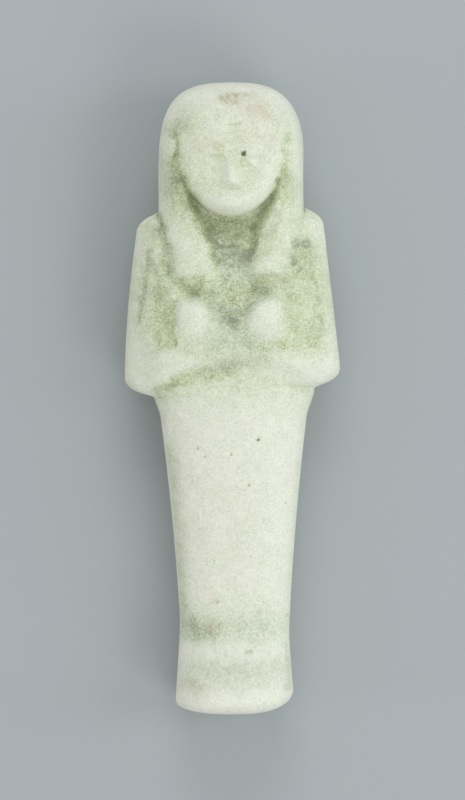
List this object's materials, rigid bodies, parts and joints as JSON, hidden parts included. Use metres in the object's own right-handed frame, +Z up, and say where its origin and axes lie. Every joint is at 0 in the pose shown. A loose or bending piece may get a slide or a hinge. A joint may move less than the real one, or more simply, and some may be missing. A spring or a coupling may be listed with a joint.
{
  "type": "ushabti figurine",
  "caption": "Small mummy-shaped funerary figure in worn pale green faience, with crossed arms, long parted wig and projecting feet, lying on its flat back.",
  "frame": {"origin": "middle of the figure's box, on the plane that its flat back lies on", "axes": "+Y from the sole to the crown, +X across the figure, +Z up out of its face"},
  "size_m": [0.036, 0.105, 0.0208],
  "materials": {
    "worn_faience": "satin"
  },
  "bodies": {
    "root": {"ushabti_figure": "worn_faience"}
  },
  "joints": []
}
